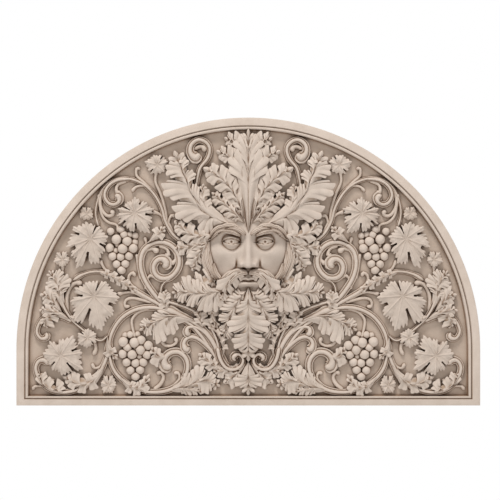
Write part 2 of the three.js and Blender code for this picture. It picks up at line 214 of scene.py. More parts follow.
# The border's section: how far in from the edge, and the rise off the ground.
section = [(0, -backing), (0, band_rise - chamfer), (chamfer * 0.3, band_rise - chamfer * 0.3)]
section += [(chamfer, band_rise), (band - 0.0006, band_rise), (band, band_rise - 0.0006)]
section += [(band + quirk * 0.25, band_rise - quirk_depth), (band + quirk * 0.75, band_rise - quirk_depth)]
for step in range(9):
    turn = math.pi * (step / 8 - 0.12) * 0.86
    inset = band + quirk + bead * 0.5 * (1 - math.cos(turn))
    section.append((inset, bead_rise - bead * 0.5 * (1 - math.sin(turn))))
section += [(border - 0.0004, 0.004), (border, 0)]

bm = bmesh.new()
chain = [bm.verts.new((arch_radius - inset, -(backing + rise), 0)) for inset, rise in section]
edges = [bm.edges.new(pair) for pair in zip(chain, chain[1:])]
spun = bmesh.ops.spin(bm, geom=chain + edges, axis=(0, -1, 0), angle=math.pi, steps=arch_steps)
far_edges = [each for each in spun["geom_last"] if isinstance(each, bmesh.types.BMEdge)]


def stretch(bm, edges, move):
    """New copies of these edges, joined to them by faces and moved point by point."""
    made = bmesh.ops.extrude_edge_only(bm, edges=edges)["geom"]
    for vert in made:
        if isinstance(vert, bmesh.types.BMVert):
            vert.co = move(vert.co)
    return [each for each in made if isinstance(each, bmesh.types.BMEdge)]


def to_mitre(point):
    return Vector((point.x, point.y, sill + (arch_radius - abs(point.x)) * sill_share))


right_foot = stretch(bm, edges, to_mitre)
stretch(bm, far_edges, to_mitre)
stretch(bm, right_foot, lambda point: Vector((-point.x, point.y, point.z)))
bmesh.ops.remove_doubles(bm, verts=bm.verts, dist=1e-6)
rim = [edge for edge in bm.edges if edge.is_boundary]
back_rim = [edge for edge in rim if abs(edge.verts[0].co.y) < 1e-6]
bmesh.ops.edgeloop_fill(bm, edges=back_rim)
ground_rim = [edge for edge in rim if abs(edge.verts[0].co.y) > 1e-6]

# The sunk ground: rings that close in on its middle, left slightly uneven by the chisel.
middle = Vector((0, -backing, arch_radius * 0.3))
ground_rim = stretch(bm, ground_rim, lambda point: middle.lerp(point, rim_ring))
for ring in range(ground_rings):
    share = 1 - 1 / (ground_rings - ring)

    def inwards(point):
        moved = middle.lerp(point, share)
        moved.y = -backing + ground_unevenness * (noise.noise(moved * 40) - 0.4)
        return moved

    ground_rim = stretch(bm, ground_rim, inwards)
bmesh.ops.remove_doubles(bm, verts=bm.verts, dist=1e-6)
keep_piece(bm, "slab_and_border", 30)

# The scroll stems. Round-backed stalks with two flutes sunk along them, tapering to rolled ends. They are
# cut in one half and repeated in mirror image. Places are squares of the carver's grid, across from the
# centre line and up from the arch's centre, and so are half widths.
stem_rise = 0.0145
root_rise = 0.026
tendril_rise = 0.0105
flute_turn, flute_width, flute_share = 0.62, 0.2, 0.3
knob_swell = 0.5


def place(across, up, rise):
    return Vector((-across * square, -backing - rise, up * square))


def smooth_line(places, fine=12, stations=80):
    """A smooth line through these places. It gives the spot, way ahead and side at a share of its length."""
    knots = [Vector(each) for each in places]
    knots = [knots[0] * 2 - knots[1], *knots, knots[-1] * 2 - knots[-2]]
    line = []
    for a, b, c, d in zip(knots, knots[1:], knots[2:], knots[3:]):
        for step in range(fine):
            u = step / fine
            line.append((b * 2 + (c - a) * u + (a * 2 - b * 5 + c * 4 - d) * u * u
                         + (b * 3 - c * 3 + d - a) * u ** 3) / 2)
    line.append(knots[-2])
    gone = [0.0]
    for before, after in zip(line, line[1:]):
        gone.append(gone[-1] + (after - before).length)
    spots = []
    i = 1
    for station in range(stations + 1):
        far = gone[-1] * station / stations
        while i < len(line) - 1 and gone[i] < far:
            i += 1
        spots.append(line[i - 1].lerp(line[i], (far - gone[i - 1]) / (gone[i] - gone[i - 1])))
    beside = zip([spots[0]] + spots, spots[1:] + [spots[-1]])
    ways = [(after - before).normalized() for before, after in beside]

    def at(share):
        i, part = divmod(min(max(share, 0), 0.99999) * stations, 1)
        i = int(i)
        ahead = ways[i].lerp(ways[i + 1], part)
        return spots[i].lerp(spots[i + 1], part), ahead, Vector((-ahead.y, ahead.x))

    at.length = gone[-1]
    return at


def turned(bm, profile, around, shape):
    """A closed blank spun from a profile, then carved: shape gets each point's turn, radius and height."""
    blank = bmesh.new()
    chain = [blank.verts.new((radius, 0, tall)) for radius, tall in profile]
    edges = [blank.edges.new(pair) for pair in zip(chain, chain[1:])]
    bmesh.ops.spin(blank, geom=chain + edges, axis=(0, 0, 1), angle=math.tau, steps=around, use_merge=True)
    bmesh.ops.remove_doubles(blank, verts=blank.verts, dist=1e-5)
    for vert in blank.verts:
        across, up, tall = vert.co
        vert.co = shape(math.atan2(up, across), math.hypot(across, up), tall)
    made = bpy.data.meshes.new("blank")
    blank.to_mesh(made)
    blank.free()
    bm.from_mesh(made)
    bpy.data.meshes.remove(made)


def stem(bm, path, half, rise=stem_rise, flutes=True, around=32):
    """A stalk along these places, from one half width to the other, that swells in a knob at its end."""
    at = smooth_line(path)
    rings = max(10, int(at.length / 1.6))
    evenly = [step / rings for step in range(rings + 1)]
    closer = [share - 0.13 * math.sin(math.tau * share) for share in evenly]
    profile = [(0, 0)] + [(1, share) for share in closer] + [(0, 1)]
    start, end = half
    closing = min(0.45, max(start, end) / at.length)

    def carve(turn, radius, share):
        here, ahead, side = at(share)
        width = start + (end - start) * share ** (2 if end > start else 1)
        width *= 1 + knob_swell * math.exp(-((share - 1 + closing * 1.5) / (closing * 1.3)) ** 2)
        near = min(share / closing, (1 - share) / closing, 1)
        width *= radius * math.sqrt(max(0, 1 - (1 - near) ** 2))
        front = math.cos(turn)
        flute = flute_share * math.exp(-((abs(turn) - flute_turn) / flute_width) ** 2) if flutes else 0
        tall = rise * min(1.3, 0.45 + 0.55 * width / start) * (0.4 + 0.6 * front * radius)
        spot = here + side * width * math.sin(turn)
        return place(spot.x, spot.y, tall * (1 - flute))

    turned(bm, profile, around, carve)


def mirror_half(bm):
    """The other half of the carving, in mirror image about the centre line."""
    half = bm.verts[:] + bm.edges[:] + bm.faces[:]
    bmesh.ops.mirror(bm, geom=half, matrix=Matrix(), merge_dist=0, axis="X")


scrolls = [
    # The trunk with its root's hook, and the upper branch.
    ([(23, -17), (30, -3), (38, 11), (49, 23), (64, 32), (84, 41)], (4.8, 4)),
    ([(20, -18), (28, -5), (32, 10), (40, 26), (54, 38), (71, 45), (92, 50)], (3, 2.6)),
    ([(25, -19), (37, -2), (47, 13), (58, 25), (72, 33), (92, 39)], (3.6, 3.2)),
    ([(68, 34), (85, 43), (100, 51), (115, 60), (128, 70), (140, 76), (153, 78), (166, 75), (176, 69)],
     (4, 2)),
    ([(28, -18), (35, -4), (43, 5), (52, 11.5), (60, 12), (64.5, 6.5), (62.5, 0), (58.5, 2)], (3.6, 3.6)),
    ([(27, -16), (33, 1), (41, 14), (51, 21.5), (60, 22), (61.5, 16.5), (57.5, 14.5)], (3.2, 3.2)),
    # The great scroll round the lower grapes.
    ([(66, 33), (82, 39), (97, 42), (112, 40), (125, 33), (134, 22), (139, 9), (140, -5)], (3.6, 3.1)),
    ([(140, -1), (136, -18), (127, -30), (113, -39), (97, -43), (80, -41), (67, -33), (61, -21), (62, -10),
      (69, -3), (78, -3.5), (84, -10), (82.5, -17), (76.5, -17.5)], (3.1, 4.9)),
    # The corner scroll, and the outer stem with its curl.
    ([(141, -6), (146, -18), (153, -29), (166, -38), (182, -43), (197, -41), (208, -32), (213, -20),
      (210, -12), (203, -11), (200.5, -16)], (3.3, 3.5)),
    ([(140, 14), (147, 9), (155, 11), (165, 19), (176, 29), (184, 41), (188, 54), (189.5, 68)], (1.8, 3.8)),
    ([(176, 28), (188, 33), (199, 34), (208, 28), (212, 18), (208, 11), (202, 12), (202.5, 17)], (3.4, 2.6)),
    # The spiral beside the mask.
    ([(84, 44), (95, 56), (104, 70), (108, 84), (106, 97), (98, 105), (87, 107.5), (76, 103), (69.5, 93),
      (70, 82), (77, 73), (86, 71), (93, 75), (95, 83), (91, 89.5), (85, 90), (82, 85.5), (86, 82)],
     (3.8, 4.4)),
    ([(82, 44), (87, 54), (87, 62), (83, 68), (76, 72)], (2.2, 1.4)),
    # The high arch over the upper vine leaf, with its curl, and the scroll beside the crown.
    ([(66, 108), (76, 116), (83, 128), (87, 142), (95, 156), (106, 166), (120, 171), (134, 170), (145, 162),
      (151, 149), (153, 136), (150, 122)], (3.1, 1.5)),
    ([(118, 171), (131, 169.5), (140, 164), (144, 155), (141, 147.5), (135, 145), (129.5, 148), (130, 153),
      (134, 154)], (2.7, 3.6)),
    ([(53, 160), (51, 172), (48, 182), (41, 191), (38.5, 200), (42, 207), (50, 210), (57, 205), (58, 197),
      (53, 192), (48.5, 196)], (2.8, 4.6)),
]
tendrils = [
    ([(107, 88), (104, 98), (96, 101), (90, 97)], (2.1, 2)),
    ([(90, 104), (82, 101), (80, 95), (84, 94)], (1.9, 1.8)),
    ([(74, 99), (72.5, 90), (78, 85)], (1.9, 1.8)),
    ([(103, 60), (102, 69), (98, 74), (94, 72)], (1.8, 1.3)),
    ([(110, 58), (119, 66), (120, 73), (116, 76.5), (113, 73)], (2, 1.4)),
    ([(140, 167), (147, 157), (148.5, 144), (146, 133), (140, 127), (132, 124.5), (130, 117)], (1.9, 1.3)),
    ([(122, 169), (131, 165), (132, 158), (128, 157)], (1.9, 1.6)),
    ([(150, 156), (148, 142), (142, 134), (136, 135), (137, 140)], (2, 1.7)),
    ([(97, 160), (104, 164), (112, 163), (117, 158)], (1.6, 1.2)),
    ([(98, 160), (106, 168), (112, 174), (112, 181), (108, 181)], (2, 1.2)),
    ([(82, 128), (84, 142), (88, 156), (93, 168), (92, 180)], (1.9, 1.3)),
    ([(99, 41), (110, 37.5), (116.5, 30), (116, 21), (113.5, 11)], (1.8, 1.3)),
    ([(100, 50), (110, 55), (119, 57.5), (132, 55)], (1.8, 1.4)),
    ([(97, 47), (108, 50), (117, 51.5), (123, 49), (123.5, 43.5), (118.5, 42.5)], (2, 1.3)),
    ([(134, 72), (143, 79), (149, 90)], (1.6, 1.3)),
    ([(75, 116), (80, 126), (88, 135), (97, 138)], (1.8, 1.4)),
    ([(80, 119), (80, 128), (77, 134), (73, 133)], (1.7, 1.3)),
    ([(98, 103), (90, 112), (85, 121)], (1.8, 1.8)),
    ([(104, 96), (102, 105), (104, 113)], (1.6, 1.2)),
    ([(108, 70), (111, 85), (112, 96)], (1.4, 1.2)),
    ([(89, 13), (85, 5), (78, 3), (72, 7), (74, 12)], (2, 1.4)),
    ([(75, -37), (69, -30), (70, -24), (75, -24)], (1.8, 1.3)),
    ([(95, -41), (88, -35), (85, -28), (88, -23), (92, -25)], (2.3, 1.5)),
    ([(143, -8), (148, -17), (154, -19), (157, -14)], (1.8, 1.3)),
    ([(161, 10), (154, 6), (153, -1), (156, -6)], (2.2, 1.4)),
    ([(200, -37), (213, -37), (217, -41)], (1.7, 1.2)),
    ([(188, -42), (204, -37), (209, -29), (205, -24)], (1.9, 1.3)),
    ([(184, -42), (195, -38), (198, -32), (194, -31)], (1.6, 1.2)),
    ([(55, 200), (50, 203), (45, 203), (43, 198)], (2.2, 2.2)),
    ([(188, 60), (187, 74), (186, 86)], (1.9, 1.3)),
    ([(182, 37), (182, 53), (178, 63), (171, 67), (167, 63.5)], (2.6, 1.9)),
]
root_curl = [(31, 2), (28, -10), (22, -18.5), (13.5, -20), (6.5, -15.5), (5.5, -8.5), (10.5, -4.5), (15, -8),
             (12.5, -11.5)]
bm = bmesh.new()
stem(bm, root_curl, (3.9, 2.7), root_rise)
for path, half in scrolls:
    stem(bm, path, half)
for path, half in tendrils:
    stem(bm, path, half, tendril_rise, flutes=False, around=12)
mirror_half(bm)
keep_piece(bm, "scroll_stems", 50)

# The acanthus on the scrolls. Each leaf is one sheet that springs from a stem, with a rib up its back and
# lobes that fan out towards the tip. The lobes have toothed edges, with a shallow flute behind each tooth.
tooth_cut = 0.36
lobe_curl = 0.13
pipe_rise = 0.0030
flute_rise = 0.0025
rib_rise, rib_groove = 0.0014, 0.0008
leaf_wave = 0.0016
least_many_teeth = 13


def blade(bm, steps, sides, shape):
    """A closed plate, made from a grid and its rim drawn down to a foot.

    shape gets each point's share along, its side from -1 to 1, and whether it is on the foot."""
    grid = bmesh.ops.create_grid(bm, x_segments=steps, y_segments=2 * sides, size=1)["verts"]
    rim = list({edge for vert in grid for edge in vert.link_edges if edge.is_boundary})
    made = bmesh.ops.extrude_edge_only(bm, edges=rim)["geom"]
    foot = [each for each in made if isinstance(each, bmesh.types.BMVert)]
    bmesh.ops.edgeloop_fill(bm, edges=[each for each in made if isinstance(each, bmesh.types.BMEdge)])
    for verts, is_foot in ((grid, False), (foot, True)):
        for vert in verts:
            vert.co = shape((vert.co.x + 1) / 2, vert.co.y, is_foot)


def ease(value):
    value = min(max(value, 0), 1)
    return value * value * (3 - 2 * value)


def bend(rise, share):
    """The rise along a leaf that has this rise at its root, its middle and its tip."""
    root, middle, tip = rise
    return root * (1 - share) ** 2 + (4 * middle - root - tip) * share * (1 - share) + tip * share ** 2


def acanthus(bm, path, half, lobes=3, rise=(0.014, 0.02, 0.013), bare=0.12, flank=(1, 1), tips=(),
             sweep=0.85, looks=80):
    """A leaf in one sheet, with toothed lobes up both its flanks and a broad one at its end.

    The lobes' tips are given, or set out evenly. Each lobe springs from the rib and curls forward."""
    at = smooth_line(path)
    spread = 0.74 - bare
    stalk = 0.4

    # Each flank's lobes: the share of the rib that each springs from, and its tip.
    hands = {1: [], -1: []}
    for tip in tips:
        tip = Vector(tip)
        near = min(range(looks + 1), key=lambda step: (at(step / looks)[0] - tip).length) / looks
        spot, ahead, aside = at(near)
        away = (tip - spot).dot(aside)
        hands[1 if away > 0 else -1].append((max(bare * 0.9, near - sweep * abs(away) / at.length), tip))
    for i in range(0 if tips else lobes):
        feed = bare + spread * (i + 0.3) / lobes
        where, ahead, aside = at(feed)
        angle = math.radians(52 - 18 * (i + 0.5) / lobes)
        length = half * math.sin(math.pi * (0.34 + 0.40 * (i + 0.5) / lobes)) / math.sin(angle)
        for out_way, share in ((1, flank[1]), (-1, flank[0])):
            way = ahead * math.cos(angle) + aside * out_way * math.sin(angle)
            hands[out_way].append((feed, where + way * length * share))

    # Each lobe's root, heading, length and width, and the shares of the rib where one gives way to the next.
    bounds = {}
    for out_way, mine in hands.items():
        mine.sort(key=lambda each: each[0])
        places = [each[1] for each in mine] + [at(1)[0]]
        feeds = [each[0] for each in mine]
        bounds[out_way] = [bare] + [(a + b) / 2 for a, b in zip(feeds, feeds[1:])]
        bounds[out_way] += [min(0.86, feeds[-1] + spread / (len(feeds) + 1))] if feeds else []
        for i, (feed, tip) in enumerate(mine):
            where = at(feed)[0]
            way = (tip - where).normalized()
            front = Vector((-way.y, way.x)) * -out_way
            beside = [abs(front.dot(places[k + 1] - places[k])) for k in (i - 1, i) if k >= 0]
            length = (tip - where).length
            wide = min(max(0.51 * sum(beside) / len(beside), 0.30 * length), 0.56 * length)
            mine[i] = (where, way, front, length, wide)
    lengths = [each[3] for mine in hands.values() for each in mine]
    teeth = 5 if sum(lengths) / len(lengths) > least_many_teeth else 3
    end_wide = half * 0.62
    end_long = min(max(end_wide * 1.1, 0.13 * at.length), end_wide * 1.9)

    def edge(share, out_way):
        """The leaf's margin, the share of the rib that feeds it, and where in its lobe and tooth it is."""
        mine, bound = hands[out_way], bounds[out_way]
        i, part = divmod(share * (len(mine) + 1 + stalk) - stalk, 1)
        i = int(i)
        if i < 0:
            part = 1 - (1 - part) / stalk
            notch = edge((stalk + 0.0001) / (len(mine) + 1 + stalk), out_way)[0]
            where, ahead, aside = at(bare * part)
            stalk_half = half * (0.05 + 0.22 * ease(part * 1.5))
            return (where + aside * out_way * stalk_half).lerp(notch, ease(part) ** 2), bare * part, 0, 0
        last = i == len(mine)
        tooth = (part * (teeth / 2 if last else teeth)) % 1 * 2 - 1
        blunt = 1 - tooth_cut * abs(tooth) ** 1.25
        if last:
            tip, ahead, aside = at(1)
            around = math.pi * 0.70 * (1 - part)
            spot = tip - ahead * end_long + ahead * end_long * math.cos(around) * blunt
            spot += aside * out_way * end_wide * math.sin(around) * blunt
            return spot, bound[-1] + (1 - bound[-1]) * 0.45 * part, part, tooth
        where, way, front, length, wide = mine[i]
        around = math.pi * 0.80 * (2 * part - 1)
        along = 0.6 + 0.4 * math.cos(around) * blunt
        spot = where + way * length * along
        spot += front * (wide * math.sin(around) * blunt - length * lobe_curl * math.sin(math.pi * along))
        return spot, bound[i] + (bound[i + 1] - bound[i]) * part, part, tooth

    known = {}

    def carve(share, side, is_foot):
        column = (round(share, 5), 1 if side >= 0 else -1)
        if column not in known:
            known[column] = edge(min(max(share, 0), 0.9999), column[1])
        spot, feed, part, tooth = known[column]
        rib, ahead, aside = at(feed)
        out = abs(side) * (0.8 if is_foot else 1)
        turn = rib + ahead * (spot - rib).length * 0.4
        spot = rib * (1 - out) ** 2 + turn * 2 * out * (1 - out) + spot * out ** 2
        if is_foot:
            return place(spot.x, spot.y, -0.002)
        tall = bend(rise, feed) * (0.75 + 0.25 * ease(feed * 7))
        pipe = pipe_rise * math.cos(math.tau * part) * math.sin(math.pi * min(1, out * 1.25))
        flute = flute_rise * (0.4 - tooth ** 2) * out ** 2.2
        rib_line = rib_rise * math.exp(-(out * half / 1.3) ** 2)
        rib_line -= rib_groove * math.exp(-(out * half - 2.6) ** 2)
        scale = min(1, half / 8)
        wave = leaf_wave * noise.noise(Vector((spot.x * 0.25, spot.y * 0.25, 3))) * out
        return place(spot.x, spot.y, tall * (1 - 0.28 * out ** 3) + (pipe + flute + rib_line) * scale + wave)

    most = max(len(mine) for mine in hands.values())
    steps_to_tooth = 7 if half > 8 else 6
    blade(bm, round((most + 1 + stalk) * teeth * steps_to_tooth), 6 if half > 5 else 4, carve)


scroll_leaves = [
    # Beside the trunk.
    ([(27, -22), (34, -16), (41, -11), (50, -4)], 8, 2, 0.2, (1, 0.8)),
    ([(12, -17), (22, -21), (36, -22)], 6.5, 2, 0.15, (1, 1)),
    ([(26, -10), (26, 4), (31, 16), (41, 27)], 5, 3, 0.2, (0.2, 1)),
    # Along the bottom of the great scroll.
    ([(72, -40), (60, -40), (44, -43)], 5, 3, 0.1, (1, 1)),
    ([(130, -26), (120, -36), (108, -38), (99, -25)], 6.5, 3, 0.3, (1, 1)),
    ([(141, 14), (140, 1), (131, -10)], 5.5, 1, 0.45, (1, 1)),
    # On the upper stems, and inside the great scroll.
    ([(80, 40), (84, 48), (82, 60)], 6, 2, 0.1, (1, 1)),
    ([(101, 106), (93, 113), (83, 123)], 6, 1, 0.4, (1, 1)),
    ([(150, 77), (138, 74), (124, 66), (110, 57)], 6, 4, 0.1, (0.8, 0.8)),
    ([(80, -8), (90, -7), (98, 3)], 8, 1, 0.2, (1, 1)),
]
toothed_leaves = [
    # Larger leaves, each with its lobes' tips: at the foot of the trunk.
    ([(80, -41), (60, -36), (43, -31), (28, -37)], 12, 0.15,
     [(58, -23), (44, -16), (32, -26), (40, -45), (53, -45)]),
    ([(1, -12), (8, -20), (15, -27), (25, -34)], 11, 0.3, [(25, -24), (16, -18), (17, -40)]),
    # On the outer stem, its sprays and its curl.
    ([(184, 38), (189, 52), (191, 66), (200, 79)], 9, 0.3,
     [(203, 67), (199, 60), (189, 81), (181, 76), (182, 66)]),
    ([(186, 36), (194, 46), (201, 53), (209, 55)], 8, 0.3, [(206, 46), (199, 43), (203, 64), (196, 59)]),
    ([(178, 30), (190, 36), (199, 39), (210, 39)], 7, 0.3, [(204, 46), (195, 44), (206, 33)]),
    ([(186, 33), (197, 34), (203, 29), (201, 21)], 6, 0.35, [(194, 22), (191, 27), (208, 25), (205, 33)]),
    ([(180, 34), (175, 31), (168, 33)], 4.5, 0.2, [(171, 37), (172, 28)]),
    # In the corner scroll, and where it leaves the great scroll.
    ([(184, -43), (196, -41), (206, -34), (211, -24)], 8, 0.15,
     [(203, -22), (199, -27), (191, -29), (187, -35)]),
    ([(143, -14), (152, -28), (166, -35), (186, -27)], 9, 0.3,
     [(181, -37), (171, -43), (158, -41), (176, -22), (165, -25)]),
    # Above the lower grapes.
    ([(52, 28), (70, 33), (88, 30), (109, 19)], 12, 0.3,
     [(102, 13), (92, 5), (82, 14), (108, 28), (97, 34)]),
]
bm = bmesh.new()
for path, half, lobes, bare, flank in scroll_leaves:
    acanthus(bm, path, half, lobes, bare=bare, flank=flank)
for path, half, bare, tips in toothed_leaves:
    acanthus(bm, path, half, 0, bare=bare, tips=tips)
mirror_half(bm)
acanthus(bm, [(0, -11), (0, -28), (0, -46)], 13, 0, bare=0.35, rise=(0.020, 0.025, 0.014),
         tips=[(13, -37), (-13, -37)])
keep_piece(bm, "scroll_acanthus", 50)

# The vine leaves. Broad, blunt lobes with toothed edges spread from where the stalk joins, a vein down each
# lobe with finer ones branching from it, and drilled eyes where two lobes meet.
vein_rise = 0.0012
slit = 0.055
tooth_depth = 0.13
crest_rise = 0.0014
vine_wave = 0.0032


def vine_leaf(bm, heart, tips, eyes, rise=0.021, around=300, rings=13):
    heart = Vector(heart)

    def bearings(places):
        ways = [Vector(each) - heart for each in places]
        return [(math.atan2(way.y, way.x), way.length) for way in ways]

    def off(turn, angle):
        return (turn - angle + math.pi) % math.tau - math.pi

    points, holes = bearings(tips), bearings(eyes)
    known = {}

    def margin(turn):
        """The leaf's spread here, where it is cut off, and the nearest vein's turn, share and length."""
        near, length = min(points, key=lambda each: abs(off(turn, each[0])))
        away = off(turn, near)
        sides = [each for each in points if off(turn, each[0]) * away < 0]
        other, other_length = min(sides, key=lambda each: abs(off(turn, each[0])), default=(near, length))
        gap = abs(away) + abs(off(turn, other))
        share = abs(away) / gap * 2 if gap else 0
        dip = 0.86 * (length + other_length) / 2
        reach = length + (dip - length) * share ** 0.8
        teeth = max(1, round(gap * dip / 10)) + 0.5
        end = reach * (1 - tooth_depth * (1 - abs(math.cos(math.pi * teeth * share))) * min(1, share * 3))
        for angle, deep in holes:
            beside = abs(off(turn, angle)) * (0.55 + 0.45 * end / reach)
            end += (min(end, deep) - end) * (1 - ease((beside - slit * 0.5) / (slit * 0.7)))
        return reach, end, away, share, length

    def carve(turn, radius, tall):
        if round(turn, 4) not in known:
            known[round(turn, 4)] = margin(turn)
        reach, end, away, share, length = known[round(turn, 4)]
        along = min(reach * radius, end * (0.97 + 0.03 * radius))
        if tall < 0:
            spot = heart + Vector((math.cos(turn), math.sin(turn))) * end * 0.8 * radius
            return place(spot.x, spot.y, -0.002)
        opened = turn
        for angle, deep in holes:
            beside = off(turn, angle)
            push = 0.085 * math.exp(-((along / deep - 1.08) / 0.13) ** 2)
            push -= 0.030 * ease((along / deep - 1.2) / 0.25)
            opened += math.copysign(push * math.exp(-(beside / 0.17) ** 2), beside)
        spot = heart + Vector((math.cos(opened), math.sin(opened))) * along
        aside = abs(along * math.sin(away))
        vein = vein_rise * (math.exp(-(aside / 0.6) ** 2) - 0.3 * math.exp(-((aside - 1.4) / 0.8) ** 2))
        branch = (along * math.cos(away) - aside * 0.9) / length * 3.5
        side_vein = vein_rise * 0.35 * math.cos(branch * math.tau) * ease(aside / 2.5)
        crest = crest_rise * math.cos(math.pi * share) * radius
        cup = 0.80 + 0.30 * math.sin(math.pi * min(1, 0.05 + radius * 0.75)) - 0.25 * (along / reach) ** 5
        wave = vine_wave * noise.noise(Vector((spot.x * 0.2, spot.y * 0.2, 0))) * radius
        return place(spot.x, spot.y, rise * cup + vein + side_vein + crest + wave)

    profile = [(ring / rings, 0) for ring in range(rings + 1)] + [(1, -1), (0, -1)]
    turned(bm, profile, around, carve)


vine_leaves = [
    ((113.7, 137),
     [(113.7, 153), (101, 147), (94, 141), (96, 127), (98, 116), (118, 118), (130, 125), (132, 134),
      (131, 141), (121, 148)],
     [(109, 145), (118.5, 139.5), (103, 135.4), (122.7, 128.7), (112.7, 126.3)]),
    ((157.7, 111),
     [(175.5, 123), (162.5, 128), (148, 123), (140, 113), (143, 98), (149, 86), (172.5, 81), (178, 93),
      (182.5, 102)],
     [(155.5, 116), (169, 115), (148.6, 106), (173, 102.8), (160, 97.6)]),
    ((154.3, 53.6),
     [(163, 67), (174, 62), (178.5, 48), (175, 28), (146.4, 18.3), (135, 34), (128.5, 52), (142, 68)],
     [(152.2, 59), (165.5, 54), (139.5, 46), (158.3, 41)]),
    ((187.9, -6.2),
     [(175, 14.5), (189, 10), (199, 8.6), (206, -4), (196, -21), (187, -26), (165, -20), (166, -3)],
     [(190.8, 5), (176.6, -1.3), (193.5, -12.3), (181.6, -13.1)]),
]
small_vine_leaves = [
    ((91, 185), [(104, 188), (98, 176), (84, 178), (80, 188), (85, 195), (95, 195)],
     [(88, 190), (95, 181)], 0.014),
    ((186, 90), [(195, 88), (192, 97), (182, 98), (179, 89), (186, 82)], [(187, 94), (182, 93)], 0.012),
    ((161, 12), [(171, 16), (171, 5), (162, 1), (152, 7), (152, 16), (160, 21)],
     [(165, 15), (157, 8)], 0.015),
    ((140, -36), [(148, -33), (145, -26), (136, -26), (132, -36), (136, -44), (145, -44)],
     [(140, -31)], 0.012),
    ((162, 136), [(169, 132), (166, 143), (158, 142), (156, 132)], [(162, 139)], 0.010),
]
bm = bmesh.new()
for heart, tips, eyes in vine_leaves:
    vine_leaf(bm, heart, tips, eyes)
for heart, tips, eyes, rise in small_vine_leaves:
    vine_leaf(bm, heart, tips, eyes, rise, around=130, rings=7)
mirror_half(bm)
keep_piece(bm, "vine_leaves", 50)

# The grapes. Round berries in hanging bunches, the largest standing foremost, with small ones filling in
# behind them. Each is a place across, a place up and a radius, swelled a little so that they crowd.
crowding = 1.10
least_grape = 3
least_forward, forward_by_size = 0.003, 0.0032
grapes = [
    # The upper bunch.
    (138, 118, 3.7), (132, 110, 4.7), (127.5, 120, 3.6), (124.6, 114.5, 3.8), (118.8, 115, 3.2),
    (113.6, 114, 3.3), (121.5, 108, 4.6), (114, 107.2, 3.2), (139, 101.6, 4.2), (132.8, 99, 3.2),
    (125.8, 100.8, 4.8), (115.6, 101.2, 4.4), (136, 93.2, 4.1), (127.8, 92.6, 4.1), (119.8, 93.5, 4.1),
    (131.8, 85.4, 4), (123.5, 85.8, 4), (127.2, 79.2, 4.1), (120.6, 100.4, 3), (131, 104.6, 3),
    # The lower bunch.
    (118.3, 14.4, 3.5), (123.4, 13.8, 3), (111, 14.8, 3), (125.2, 7.4, 4.7), (121, 1.8, 4.2),
    (114, 6.6, 4.9), (107.5, 9, 4.4), (100.4, 3.7, 4.5), (108, -0.6, 4.7), (125.7, -4.6, 4.3),
    (116.4, -5.2, 4.7), (101.6, -5.4, 4.3), (109, -7.4, 3.2), (121.7, -13, 4.2), (113, -13.7, 4.3),
    (105.5, -12.9, 4.2), (118, -21, 4.1), (108.7, -20.6, 4.1), (113, -27.4, 4.1), (104.6, -0.6, 3),
    (112.6, 0.8, 3),
]
bm = bmesh.new()
for across, up, radius in grapes:
    centre = place(across, up, least_forward + forward_by_size * (radius - least_grape))
    bmesh.ops.create_icosphere(bm, subdivisions=3, radius=radius * square * crowding,
                               matrix=Matrix.Translation(centre))
mirror_half(bm)
keep_piece(bm, "grapes", 60)

# The mask's face, on the classical canon: three equal thirds from hairline to brow, nose and chin, and five
# eyes to its width. It is calm and nobody's. The eyes have carved lids and drilled pupils.
third = 37
brow = 118
nose_base = brow - third
chin = nose_base - third
eye_up = brow - third * 0.28
mouth = nose_base - third / 3
face_half = 42
eye_across = face_half * 0.4
eye_half = face_half / 5
eyeball = 7.9
ball_front = 0.0385
face_dome = 0.036


def bell(distance, width):
    return math.exp(-(distance / width) ** 2)


